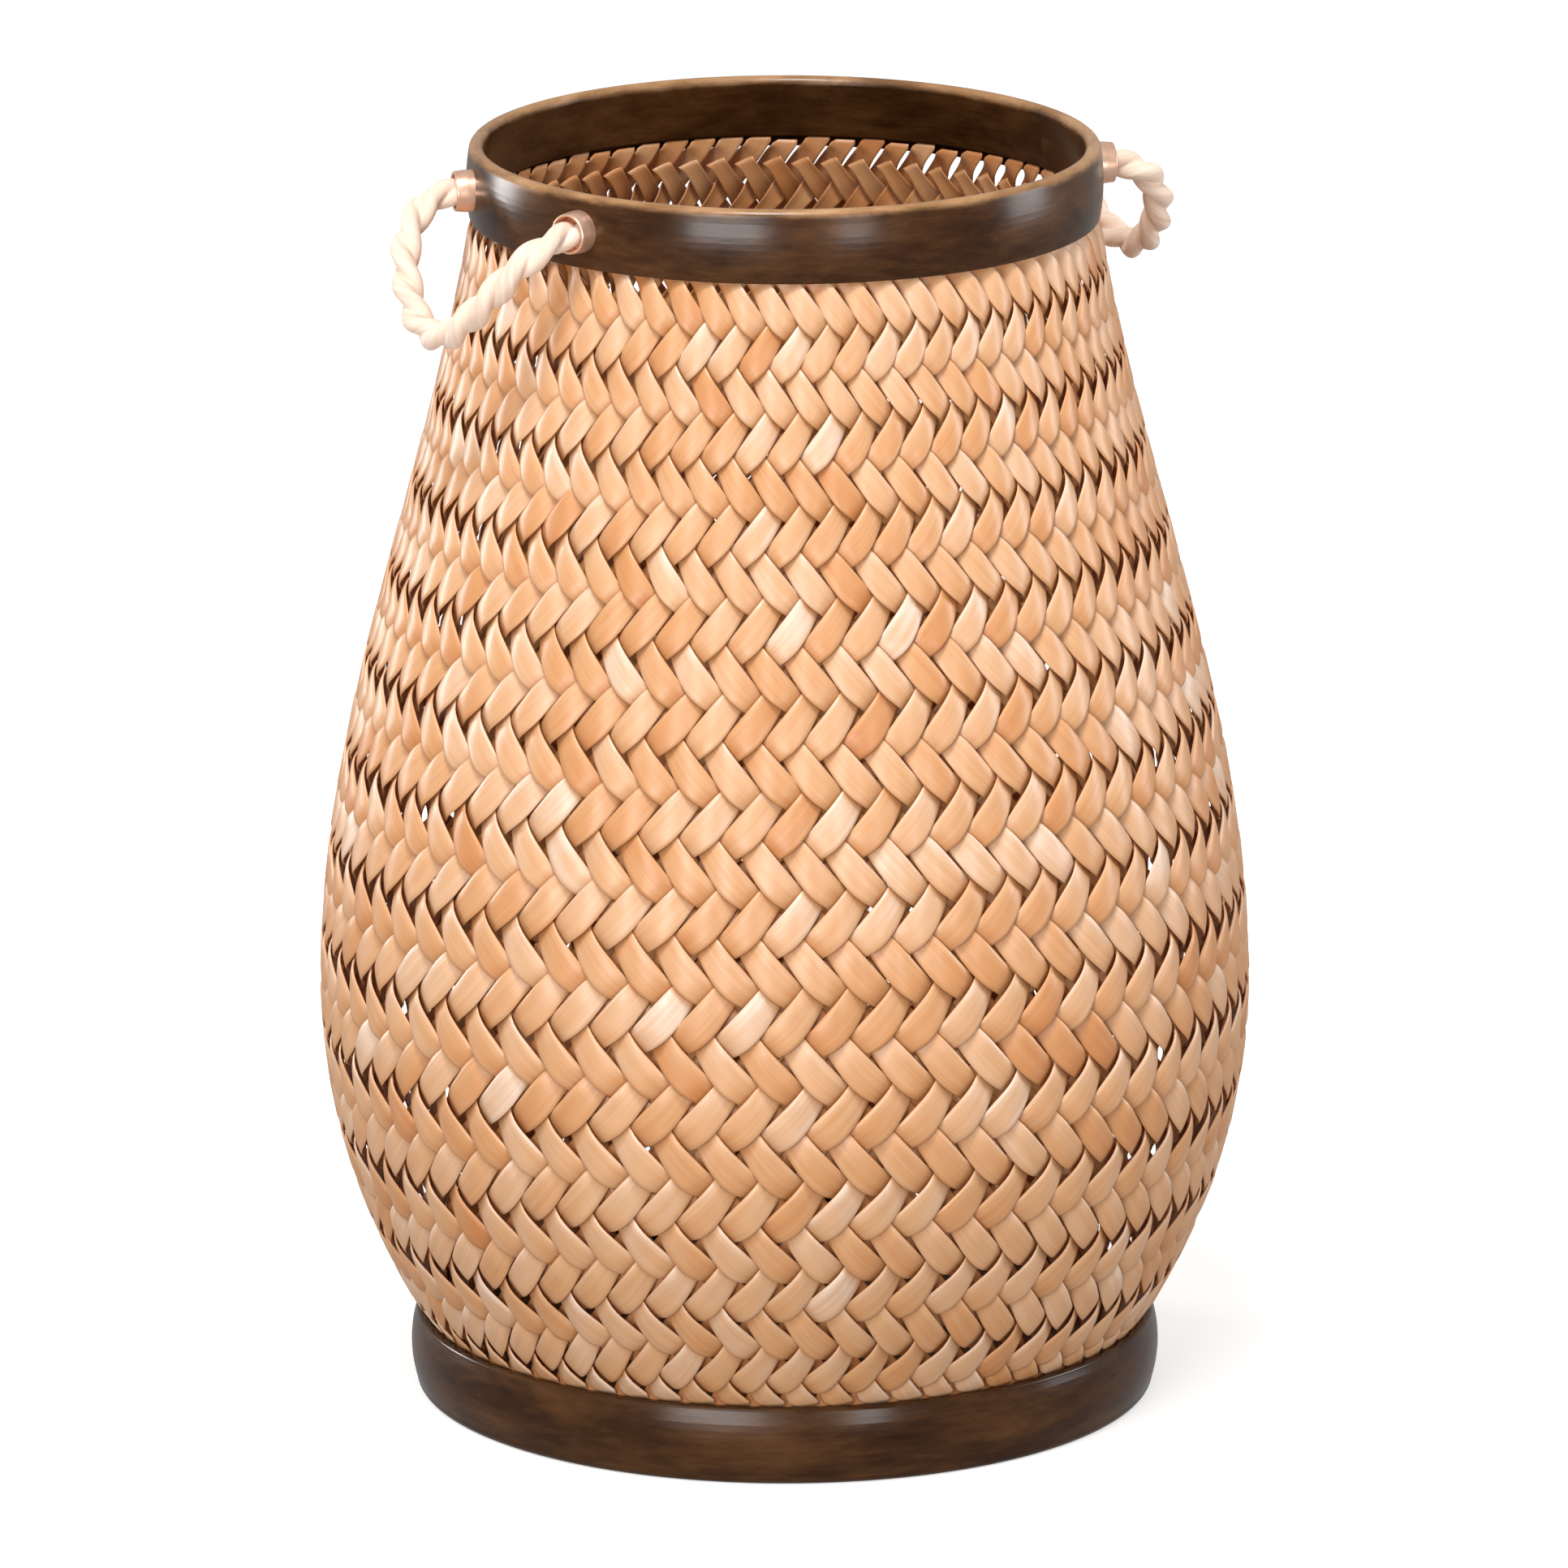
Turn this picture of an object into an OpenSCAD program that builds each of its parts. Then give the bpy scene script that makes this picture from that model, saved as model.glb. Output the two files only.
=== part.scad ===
// Wicker log basket: a twill-woven wall between a bent-wood rim band and base band,
// a wooden floor panel, and two twisted-rope handles set into metal ferrules on the rim.
// The origin is the centre of the standing face. +Z is up and the handles are on +X and -X.

/* [Wall] */
// Height of the whole basket
height = 548; // [530:2:570]
// Outer radius of the wall at its widest level
belly_r = 200; // [190:1:210]
// Height of the widest level
belly_z = 180; // [165:1:195]
// Outer radius of the wall just under the rim band
neck_r = 134; // [131:0.5:137]
// Outer radius of the wall just above the base band
foot_r = 157; // [154:0.5:160]
// Thickness of the weave
wall_t = 7.5; // [6.5:0.5:7.5]

/* [Wood bands] */
// Height of the rim band
rim_h = 31.5; // [28:0.5:34]
// Thickness of the rim band at its crest
rim_t = 6.6; // [6:0.2:7]
// Height of the base band
base_h = 34; // [30:1:38]
// Thickness of the floor panel
floor_t = 9; // [8:0.5:11]

/* [Ferrules] */
// Outer radius of a ferrule where it meets the rim
ferrule_r = 9; // [8.6:0.1:9.4]
// Length of a ferrule, its seat in the rim included
ferrule_len = 8.5; // [8:0.5:10]
// Angle from the middle of a handle to each of its ferrules
ferrule_angle = 19.5; // [19:0.5:20]

/* [Rope handles] */
// Diameter of the twisted rope
rope_d = 13; // [12:0.5:13]

/* [Hidden] */
$fn = 96;

// Clearance in a glued joint
glue_gap = 0.1;

// Wall: lean of its outline at the neck and foot, and how far each end of a curve pulls
neck_lean = 8.5;
neck_pull = 112;
belly_pull_up = 118;
belly_pull_down = 75;
foot_lean = 31;
foot_pull = 21;
curve_steps = 14;

// Rim band: the wall's tongue is glued into a groove in its underside
rim_z = height - rim_h;
rim_r = neck_r + 1.5;
rim_bulge = 1.1;
rim_round = 0.7;
crest_z = height - rim_t / 2;
crest_r = rim_r - rim_bulge - rim_t / 2;
tongue_r = neck_r - 1.1;
tongue_t = 2.6;
tongue_h = 10;
lip_lift = 5;
lip_lean = 1.1;

// Base band: an L-shaped hoop; the wall's foot and the floor panel stand on its ledge
base_r = foot_r + 4.7;
base_bulge = 2.2;
base_round = 4;
base_top_round = 1.5;
seat_r = foot_r - 0.8;
ledge_r = foot_r - 9;
ledge_z = 10;
foot_t = 3;
foot_outer_r = seat_r - 2 * glue_gap;
floor_r = foot_outer_r - foot_t - 5 * glue_gap;

// Brads through the wall's foot into the edge of the floor panel
brad_count = 12;
brad_r = 0.8;
brad_head_r = 1.6;
brad_head_t = 0.6;
brad_len = 16;

// Ferrules: cups with a screw through the floor of each
ferrule_z = height - 15.5;
seat_depth = 1;
cup_wall = 1.5;
cup_floor = 1.5;
cup_taper = 0.4;
cup_lip = 0.5;
screw_r = 1.5;
screw_head_r = 2.8;
screw_len = 6.5;
slot_w = 0.8;
slot_depth = 0.7;

// How far the rope's fixed end stands out of its ferrule
rope_stickout = 0.4;
// One handle's rope, as [outwards from the rim's face, along the rim, up from the ferrules],
// from the point beside a ferrule that it swings about to the middle of the loop.
// The other half mirrors it.
ROUTE = [
    [8.5, 49.5, -2.5], [13, 49, -5], [17.5, 47.5, -8.5], [22, 45, -13], [26, 41.5, -18.6],
    [29, 37, -24.4], [31.5, 32, -30.3], [33.5, 26, -36], [35, 19.5, -41.5], [36, 13, -45.5],
    [36.5, 6.5, -47.8], [36.5, 0, -48.5]
];
rope_sides = 12;

// ---- Outlines ----

function arc(centre, r, from, to, steps) =
    [for (i = [0:steps]) let (a = from + (to - from) * i / steps)
        centre + r * [cos(a), sin(a)]];

// A bowed face: radius r at mid height, less by bow at both ends
function bowed(r, bow, z0, z1, steps) =
    [for (i = [0:steps]) let (u = i / steps)
        [r - bow * pow(2 * u - 1, 2), z0 + (z1 - z0) * u]];

function bezier(p, t) =
    pow(1 - t, 3) * p[0] + 3 * pow(1 - t, 2) * t * p[1]
    + 3 * (1 - t) * t * t * p[2] + pow(t, 3) * p[3];

function bezier_slope(p, t) =
    3 * pow(1 - t, 2) * (p[1] - p[0]) + 6 * (1 - t) * t * (p[2] - p[1])
    + 3 * t * t * (p[3] - p[2]);

function unit(v) = v / norm(v);

NECK = [neck_r, rim_z];
BELLY = [belly_r, belly_z];
FOOT = [foot_r, base_h];
SHOULDER_CURVE = [
    NECK, NECK + neck_pull * [sin(neck_lean), -cos(neck_lean)],
    BELLY + [0, belly_pull_up], BELLY
];
HAUNCH_CURVE = [
    BELLY, BELLY - [0, belly_pull_down],
    FOOT + foot_pull * [sin(foot_lean), cos(foot_lean)], FOOT
];

// Points along a curve, moved inwards by depth
function curve_points(p, depth) =
    [for (i = [0:curve_steps]) let (t = i / curve_steps, s = unit(bezier_slope(p, t)))
        bezier(p, t) - depth * [-s.y, s.x]];

function tail(list, from) = [for (i = [from:len(list) - 1]) list[i]];

function reversed(list) = [for (i = [len(list) - 1:-1:0]) list[i]];

// The wall's outer or inner face, from the neck down to the foot
function wall_face(depth) =
    concat(curve_points(SHOULDER_CURVE, depth), tail(curve_points(HAUNCH_CURVE, depth), 1));

// ---- Rope ----

function mirror_y(p) = [p.x, -p.y, p.z];

// The loop's points, from one ferrule round to the other
HALF_LOOP = [for (p = ROUTE) p + [rim_r, 0, ferrule_z]];
LOOP = concat(HALF_LOOP, [for (p = tail(reversed(HALF_LOOP), 1)) mirror_y(p)]);

function direction(path, i) =
    unit(path[min(i + 1, len(path) - 1)] - path[max(i - 1, 0)]);

// One ring of the tube round a point, square to direction d
function ring(centre, d, r) =
    let (side = unit(cross(d, [0, 0, 1])), top = cross(side, d))
    [for (k = [0:rope_sides - 1]) let (a = 360 * k / rope_sides)
        centre + r * (cos(a) * side + sin(a) * top)];

function flat(lists) = [for (list = lists) for (item = list) item];

module tube(rings) {
    last = len(rings) - 1;
    sides = rope_sides;
    polyhedron(
        points = flat(rings),
        faces = concat(
            [[for (k = [0:sides - 1]) k]],
            [[for (k = [sides - 1:-1:0]) last * sides + k]],
            flat([for (j = [0:last - 1]) flat([for (k = [0:sides - 1])
                let (a = j * sides + k, b = j * sides + (k + 1) % sides)
                [[a, a + sides, b], [b, a + sides, b + sides]]])])
        ),
        convexity = 6
    );
}

// Rounded nose of a loop's end: rings on a ball round the point that it swings about.
// side is -1 at the loop's start and 1 at its finish.
function nose(centre, d, side) =
    [for (a = side < 0 ? [75, 40] : [40, 75])
        ring(centre + side * rope_d / 2 * sin(a) * d, d, rope_d / 2 * cos(a))];

module rope_loop() {
    start = direction(LOOP, 0);
    finish = direction(LOOP, len(LOOP) - 1);
    tube(concat(
        nose(LOOP[0], start, -1),
        [for (i = [0:len(LOOP) - 1]) ring(LOOP[i], direction(LOOP, i), rope_d / 2)],
        nose(LOOP[len(LOOP) - 1], finish, 1)
    ));
}

module rope_end() {
    on_rim()
        translate([0, 0, cup_floor])
            cylinder(r = rope_d / 2, h = ferrule_len - cup_floor + rope_stickout);
}

// ---- Placing ----

// Puts a handle's piece on the side it belongs to: x and y are 1 or -1
module at_corner(x, y) {
    rotate(x > 0 ? 0 : 180)
        mirror([0, x * y > 0 ? 0 : 1, 0])
            children();
}

// Turns a piece drawn up +Z from the ferrule's seat so that it points out of the rim
module on_rim() {
    rotate(ferrule_angle)
        translate([rim_r - seat_depth, 0, ferrule_z])
            rotate([0, 90, 0])
                children();
}

// ---- Sub-parts ----

module woven_wall() {
    color("#d9a775")
        rotate_extrude()
            polygon(concat(
                [[tongue_r, rim_z + tongue_h], [tongue_r, rim_z]],
                wall_face(0),
                [
                    [foot_outer_r, base_h],
                    [foot_outer_r, ledge_z],
                    [foot_outer_r - foot_t, ledge_z],
                    [foot_outer_r - foot_t, base_h]
                ],
                reversed(wall_face(wall_t)),
                [
                    [neck_r - wall_t - 0.5, rim_z + lip_lift],
                    [tongue_r - tongue_t, rim_z + lip_lift],
                    [tongue_r - tongue_t, rim_z + tongue_h]
                ]
            ));
}

module rim_band() {
    groove_out = tongue_r + glue_gap;
    groove_in = tongue_r - tongue_t - glue_gap;
    lip_z = rim_z + lip_lift;
    outer_low_r = rim_r - rim_bulge;
    inner_low_r = crest_r - rim_t / 2 + lip_lean;
    color("#3b2417")
        difference() {
            rotate_extrude()
                polygon(concat(
                    [[groove_out, rim_z]],
                    arc([outer_low_r - rim_round, rim_z + rim_round], rim_round, -90, -15, 4),
                    bowed(rim_r, rim_bulge, rim_z + rim_round, crest_z, 10),
                    arc([crest_r, crest_z], rim_t / 2, 15, 180, 11),
                    [
                        [inner_low_r, lip_z + rim_round],
                        [inner_low_r + rim_round / 2, lip_z],
                        [groove_in, lip_z],
                        [groove_in, rim_z + tongue_h],
                        [groove_out, rim_z + tongue_h]
                    ]
                ));
            for (x = [-1, 1], y = [-1, 1])
                at_corner(x, y)
                    on_rim()
                        cylinder(r = ferrule_r + glue_gap / 2, h = 2 * seat_depth + rim_bulge);
        }
}

module base_band() {
    color("#3b2417")
        rotate_extrude()
            polygon(concat(
                [[ledge_r, 0]],
                arc([base_r - base_bulge - base_round, base_round], base_round, -90, -12, 7),
                bowed(base_r, base_bulge, base_round, base_h - base_top_round, 10),
                arc(
                    [base_r - base_bulge - base_top_round, base_h - base_top_round],
                    base_top_round, 18, 90, 4
                ),
                [[seat_r, base_h], [seat_r, ledge_z], [ledge_r, ledge_z]]
            ));
}

module floor_panel() {
    color("#4a2f1e")
        translate([0, 0, ledge_z])
            cylinder(r = floor_r, h = floor_t);
}

module floor_brads() {
    color("#b8b8b4")
        for (i = [0:brad_count - 1])
            rotate(360 * (i + 0.5) / brad_count)
                translate([foot_outer_r, 0, ledge_z + floor_t / 2])
                    rotate([0, -90, 0])
                        union() {
                            cylinder(r = brad_head_r, h = brad_head_t, $fn = 24);
                            cylinder(r = brad_r, h = brad_len, $fn = 24);
                        }
}

module ferrule() {
    mouth_r = ferrule_r - cup_taper;
    bore_r = ferrule_r - cup_wall;
    color("#c98f6b")
        on_rim()
            rotate_extrude()
                polygon([
                    [screw_r + glue_gap, 0],
                    [ferrule_r, 0],
                    [ferrule_r, ferrule_len / 2],
                    [mouth_r, ferrule_len - cup_lip],
                    [mouth_r - cup_lip, ferrule_len],
                    [bore_r, ferrule_len - cup_lip],
                    [bore_r, cup_floor],
                    [screw_head_r + glue_gap, cup_floor],
                    [screw_r + glue_gap, cup_floor - (screw_head_r - screw_r)]
                ]);
}

module ferrule_screw() {
    color("#a9a9a6")
        on_rim()
            difference() {
                translate([0, 0, cup_floor])
                    rotate([180, 0, 0])
                        rotate_extrude()
                            polygon([
                                [0, 0],
                                [screw_head_r, 0],
                                [screw_r, screw_head_r - screw_r],
                                [screw_r, screw_len - screw_r],
                                [0, screw_len]
                            ]);
                translate([-slot_w / 2, -screw_head_r - 1, cup_floor - slot_depth])
                    cube([slot_w, 2 * screw_head_r + 2, slot_depth + 1]);
            }
}

module ferrule_screws() {
    for (x = [-1, 1], y = [-1, 1])
        at_corner(x, y)
            ferrule_screw();
}

module fixed_rope(x, y) {
    color("#ead3c0")
        at_corner(x, y)
            rope_end();
}

module swinging_rope(x) {
    color("#ead3c0")
        at_corner(x, x)
            rope_loop();
}

woven_wall();
rim_band();
base_band();
floor_panel();
floor_brads();
at_corner(1, -1) ferrule();  // right_front_ferrule
at_corner(1, 1) ferrule();  // right_rear_ferrule
at_corner(-1, -1) ferrule();  // left_front_ferrule
at_corner(-1, 1) ferrule();  // left_rear_ferrule
ferrule_screws();
fixed_rope(1, -1);  // right_front_rope_end
fixed_rope(1, 1);  // right_rear_rope_end
fixed_rope(-1, -1);  // left_front_rope_end
fixed_rope(-1, 1);  // left_rear_rope_end
swinging_rope(1);  // right_rope_handle
swinging_rope(-1);  // left_rope_handle
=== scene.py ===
"""A wicker log basket: a plaited wall of flat strips between a bent-wood rim and base,
a wooden floor, and two twisted-rope handles in copper ferrules.

Everything is in metres in the row frame. The CAD's wooden bands, floor panel, screws and brads
are shown with materials of their own. The plaited strips stand for the CAD wall, the ropes for
the CAD ropes, and the turned cups for the CAD ferrules.
"""

import math

import bpy
import numpy as np
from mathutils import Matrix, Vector


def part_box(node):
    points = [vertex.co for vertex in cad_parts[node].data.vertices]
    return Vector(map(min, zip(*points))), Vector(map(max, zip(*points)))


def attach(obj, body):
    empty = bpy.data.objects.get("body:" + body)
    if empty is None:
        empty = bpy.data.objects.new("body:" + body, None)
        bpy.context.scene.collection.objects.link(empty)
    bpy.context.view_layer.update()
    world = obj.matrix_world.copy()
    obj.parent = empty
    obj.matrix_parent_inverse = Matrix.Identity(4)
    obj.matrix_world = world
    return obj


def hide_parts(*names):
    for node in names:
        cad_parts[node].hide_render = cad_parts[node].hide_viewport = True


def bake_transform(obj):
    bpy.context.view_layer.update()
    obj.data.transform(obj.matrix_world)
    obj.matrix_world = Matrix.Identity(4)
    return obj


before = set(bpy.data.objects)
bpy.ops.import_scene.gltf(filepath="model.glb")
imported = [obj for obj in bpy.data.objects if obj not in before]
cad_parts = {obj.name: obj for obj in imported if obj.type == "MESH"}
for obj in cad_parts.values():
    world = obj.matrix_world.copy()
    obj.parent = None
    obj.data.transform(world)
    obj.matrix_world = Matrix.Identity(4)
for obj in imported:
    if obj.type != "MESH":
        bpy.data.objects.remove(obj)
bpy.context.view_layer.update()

# ---- Driving dimensions, from the frame ----

RIM_LOW, RIM_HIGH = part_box("rim_band")
BASE_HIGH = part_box("base_band")[1]
WALL_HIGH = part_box("woven_wall")[1]
FLOOR_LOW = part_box("floor_panel")[0]
HEIGHT = RIM_HIGH.z
RIM_R = RIM_HIGH.x
RIM_Z = RIM_LOW.z
BASE_R = BASE_HIGH.x
BASE_H = BASE_HIGH.z
BELLY_R = WALL_HIGH.x
NECK_R = RIM_R - 0.0015  # the wall's outer face, just under the rim
FOOT_R = BASE_R - 0.0047  # and just above the base
MIDDLE = Vector((0, 0, HEIGHT / 2))
SIDES = ((1, "right"), (-1, "left"))  # along X
ENDS = ((-1, "front"), (1, "rear"))  # of each handle, along Y


# ---- Camera ----

CAMERA_TURN = math.radians(-31)  # from the front towards the left handle
CAMERA_PITCH = math.radians(14.917)  # down from level
CAMERA_DISTANCE = 6.38  # from the basket's axis, level
CAMERA_HEIGHT = 1.965
SENSOR_WIDTH = 36  # mm
LENS = 353  # mm
SIDE_SHIFT = -0.0005  # over the picture's width


def seen_from(turn, distance, height):
    """A point round the basket's axis. Turn 0 is in front, and a positive turn goes to the right."""
    return Vector((distance * math.sin(turn), -distance * math.cos(turn), height))


def make_camera():
    data = bpy.data.cameras.new("camera")
    data.sensor_width = SENSOR_WIDTH
    data.lens = LENS
    data.shift_x = SIDE_SHIFT
    camera = bpy.data.objects.new("camera", data)
    camera.location = seen_from(CAMERA_TURN, CAMERA_DISTANCE, CAMERA_HEIGHT)
    camera.rotation_euler = (math.pi / 2 - CAMERA_PITCH, 0, CAMERA_TURN)
    bpy.context.scene.collection.objects.link(camera)
    bpy.context.scene.camera = camera


# ---- Shader helpers ----

NOISE_LOW = 0.3  # nearly all of a noise's values lie between these two
NOISE_HIGH = 0.7


def new_material(name):
    """A material with its node tree and its Principled shader."""
    material = bpy.data.materials.new(name)
    material.use_nodes = True
    tree = material.node_tree
    shader = next(n for n in tree.nodes if n.type == "BSDF_PRINCIPLED")
    return material, tree, shader


def add_node(tree, kind, **settings):
    node = tree.nodes.new(kind)
    for name, value in settings.items():
        setattr(node, name, value)
    return node


def named_vector(tree, name):
    """A mesh attribute as a vector."""
    return add_node(tree, "ShaderNodeAttribute", attribute_name=name).outputs["Vector"]


def noise(tree, vector, per_metre, detail, roughness=0.55, distortion=0.0):
    """Noise with about that many features in a metre, along each of the vector's three parts."""
    scaled = add_node(tree, "ShaderNodeMapping")
    scaled.inputs["Scale"].default_value = per_metre
    tree.links.new(vector, scaled.inputs["Vector"])
    node = add_node(tree, "ShaderNodeTexNoise")
    node.inputs["Scale"].default_value = 1
    node.inputs["Detail"].default_value = detail
    node.inputs["Roughness"].default_value = roughness
    node.inputs["Distortion"].default_value = distortion
    tree.links.new(scaled.outputs["Vector"], node.inputs["Vector"])
    return node.outputs["Fac"]


def remap(tree, value, low, high, to_low=0.0, to_high=1.0):
    """A value between low and high, eased and clamped, as one between to_low and to_high."""
    node = add_node(tree, "ShaderNodeMapRange", interpolation_type="SMOOTHSTEP")
    for socket, number in zip(
        ("From Min", "From Max", "To Min", "To Max"), (low, high, to_low, to_high)
    ):
        node.inputs[socket].default_value = number
    tree.links.new(value, node.inputs["Value"])
    return node.outputs["Result"]


def spread(tree, noise_value, to_low, to_high):
    """A noise's usual values as ones from to_low to to_high."""
    return remap(tree, noise_value, NOISE_LOW, NOISE_HIGH, to_low, to_high)


def ramp(tree, value, stops):
    """A colour ramp through (position, linear colour) stops."""
    node = add_node(tree, "ShaderNodeValToRGB")
    elements = node.color_ramp.elements
    while len(elements) < len(stops):
        elements.new(0.5)
    for element, (position, colour) in zip(elements, stops):
        element.position = position
        element.color = (*colour, 1)
    tree.links.new(value, node.inputs["Fac"])
    return node.outputs["Color"]


def mixed(tree, factor, a, b, blend="MIX"):
    """Colour a mixed with b. Factor and colours are sockets or plain values."""
    node = add_node(tree, "ShaderNodeMix", data_type="RGBA", blend_type=blend)
    sockets = {s.identifier: s for s in node.inputs}
    pairs = (("Factor_Float", factor), ("A_Color", a), ("B_Color", b))
    for name, value in pairs:
        if isinstance(value, bpy.types.NodeSocket):
            tree.links.new(value, sockets[name])
        else:
            sockets[name].default_value = value if name == "Factor_Float" else (*value, 1)
    return next(s for s in node.outputs if s.identifier == "Result_Color")


def maths(tree, operation, a, b):
    """One step of arithmetic on two values. Each is a socket or a plain number."""
    node = add_node(tree, "ShaderNodeMath", operation=operation)
    for socket, value in zip(node.inputs, (a, b)):
        if isinstance(value, bpy.types.NodeSocket):
            tree.links.new(value, socket)
        else:
            socket.default_value = value
    return node.outputs[0]


def weighted(tree, a, a_weight, b, b_weight):
    """Two values' weighted sum."""
    a_share = maths(tree, "MULTIPLY", a, a_weight)
    return maths(tree, "ADD", a_share, maths(tree, "MULTIPLY", b, b_weight))


def bump(tree, shader, height, strength, distance):
    """Gives the shader a relief of that height, over that distance in metres."""
    node = add_node(tree, "ShaderNodeBump")
    node.inputs["Strength"].default_value = strength
    node.inputs["Distance"].default_value = distance
    tree.links.new(height, node.inputs["Height"])
    tree.links.new(node.outputs["Normal"], shader.inputs["Normal"])


def object_position(tree):
    return add_node(tree, "ShaderNodeTexCoord").outputs["Object"]


def round_the_axis(tree):
    """The place as (way round the basket, height, radius), and the height on its own.

    The way round is in metres at the rim's radius, and starts and ends on the +X side."""
    split = add_node(tree, "ShaderNodeSeparateXYZ")
    tree.links.new(object_position(tree), split.inputs[0])
    x, y, z = split.outputs
    turned_x = maths(tree, "MULTIPLY", x, -1.0)
    turned_y = maths(tree, "MULTIPLY", y, -1.0)
    turn = maths(tree, "ARCTAN2", turned_y, turned_x)
    flat = add_node(tree, "ShaderNodeCombineXYZ")
    tree.links.new(x, flat.inputs["X"])
    tree.links.new(y, flat.inputs["Y"])
    radius = add_node(tree, "ShaderNodeVectorMath", operation="LENGTH")
    tree.links.new(flat.outputs[0], radius.inputs[0])
    joined = add_node(tree, "ShaderNodeCombineXYZ")
    tree.links.new(maths(tree, "MULTIPLY", turn, RIM_R), joined.inputs["X"])
    tree.links.new(z, joined.inputs["Y"])
    tree.links.new(radius.outputs["Value"], joined.inputs["Z"])
    return joined.outputs[0], z


# ---- Materials ----

WEAR_START = 0.0042  # how far below the rim's crest its stain starts to wear off
WEAR_END = 0.0002  # how far above it the wear would be complete
WEAR_RAGGED = 0.0009  # how far the wood's figure moves the wear up or down


def strip_material():
    """Dried palm-leaf strip: fine fibres along it, and a tone that differs from float to float and
    holds painted light and shade.
    """
    material, tree, shader = new_material("palm_strip")
    grain = named_vector(tree, "grain")
    tone = add_node(tree, "ShaderNodeAttribute", attribute_name="tone").outputs["Fac"]
    fibres = noise(tree, grain, (2600, 34, 1), detail=3, roughness=0.6)
    streaks = noise(tree, grain, (420, 14, 1), detail=2, roughness=0.5)
    clouds = noise(tree, grain, (90, 60, 1), detail=2, roughness=0.5)
    mottled = maths(tree, "ADD", tone, spread(tree, clouds, -0.07, 0.07))
    streaked = maths(tree, "ADD", mottled, spread(tree, streaks, -0.07, 0.07))
    # The ramp's dark end colours the painted shade, and its pale end the painted highlight
    colour = ramp(
        tree,
        streaked,
        [
            (0.0, (0.52, 0.2, 0.065)),
            (0.3, (0.58, 0.27, 0.11)),
            (0.55, (0.63, 0.34, 0.17)),
            (0.75, (0.66, 0.395, 0.235)),
            (1.0, (0.76, 0.56, 0.43)),
        ],
    )
    dark_fibre = remap(tree, fibres, 0.35, 0.7, 0.93, 1.03)
    shade = add_node(tree, "ShaderNodeCombineColor")
    for socket in shade.inputs:
        tree.links.new(dark_fibre, socket)
    tree.links.new(
        mixed(tree, 1.0, colour, shade.outputs[0], "MULTIPLY"), shader.inputs["Base Color"]
    )
    tree.links.new(spread(tree, fibres, 0.44, 0.34), shader.inputs["Roughness"])
    shader.inputs["Specular IOR Level"].default_value = 0.5
    bump(tree, shader, fibres, 0.2, 0.0002)
    return material


def band_material():
    """Dark bent wood: grain that runs round the basket, a rubbed crest, and a satin varnish."""
    material, tree, shader = new_material("dark_wood")
    place, z = round_the_axis(tree)
    grain = noise(tree, place, (60, 300, 300), detail=4, roughness=0.6, distortion=0.2)
    figure = noise(tree, place, (20, 50, 50), detail=5, roughness=0.6, distortion=0.3)
    pores = noise(tree, place, (90, 2200, 2200), detail=2, roughness=0.6)
    blotches = weighted(tree, grain, 0.25, figure, 0.75)
    wood = ramp(
        tree,
        blotches,
        [
            (0.3, (0.014, 0.0045, 0.001)),
            (0.45, (0.038, 0.0135, 0.0035)),
            (0.55, (0.064, 0.0245, 0.007)),
            (0.7, (0.105, 0.043, 0.014)),
        ],
    )
    rubbed = ramp(
        tree,
        blotches,
        [(0.3, (0.2, 0.09, 0.035)), (0.5, (0.36, 0.19, 0.085)), (0.7, (0.5, 0.3, 0.16))],
    )
    raggedness = spread(tree, figure, -WEAR_RAGGED, WEAR_RAGGED)
    rubbed_height = maths(tree, "ADD", z, raggedness)
    worn_edge = remap(tree, rubbed_height, HEIGHT - WEAR_START, HEIGHT + WEAR_END)
    dark_pores = remap(tree, pores, 0.55, 0.75, 0.0, 0.35)
    colour = mixed(tree, worn_edge, wood, rubbed)
    colour = mixed(tree, dark_pores, colour, (0.006, 0.003, 0.0015))
    tree.links.new(colour, shader.inputs["Base Color"])
    tree.links.new(spread(tree, figure, 0.2, 0.28), shader.inputs["Roughness"])
    shader.inputs["Specular IOR Level"].default_value = 0.22
    bump(tree, shader, weighted(tree, grain, 1.0, figure, 2.0), 0.08, 0.0005)
    return material


def floor_material():
    """The floor panel's plain dark board, with its grain straight across it."""
    material, tree, shader = new_material("floor_board")
    place = object_position(tree)
    grain = noise(tree, place, (9, 260, 9), detail=5, roughness=0.6, distortion=0.3)
    figure = noise(tree, place, (8, 40, 8), detail=3, roughness=0.5, distortion=1.0)
    colour = ramp(
        tree,
        weighted(tree, grain, 0.5, figure, 0.5),
        [(0.35, (0.03, 0.014, 0.006)), (0.5, (0.075, 0.036, 0.016)), (0.65, (0.13, 0.066, 0.03))],
    )
    tree.links.new(colour, shader.inputs["Base Color"])
    tree.links.new(spread(tree, grain, 0.5, 0.65), shader.inputs["Roughness"])
    bump(tree, shader, grain, 0.3, 0.0005)
    return material


def copper_material():
    """Polished rose copper, faintly turned and handled."""
    material, tree, shader = new_material("rose_copper")
    place = object_position(tree)
    wear = noise(tree, place, (160, 160, 160), detail=3)
    turning = noise(tree, place, (900, 900, 900), detail=2)
    colour = ramp(tree, wear, [(0.3, (0.88, 0.52, 0.35)), (0.7, (0.95, 0.64, 0.47))])
    tree.links.new(colour, shader.inputs["Base Color"])
    shader.inputs["Metallic"].default_value = 0.75
    tree.links.new(spread(tree, wear, 0.28, 0.38), shader.inputs["Roughness"])
    bump(tree, shader, turning, 0.06, 0.0002)
    return material


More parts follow.
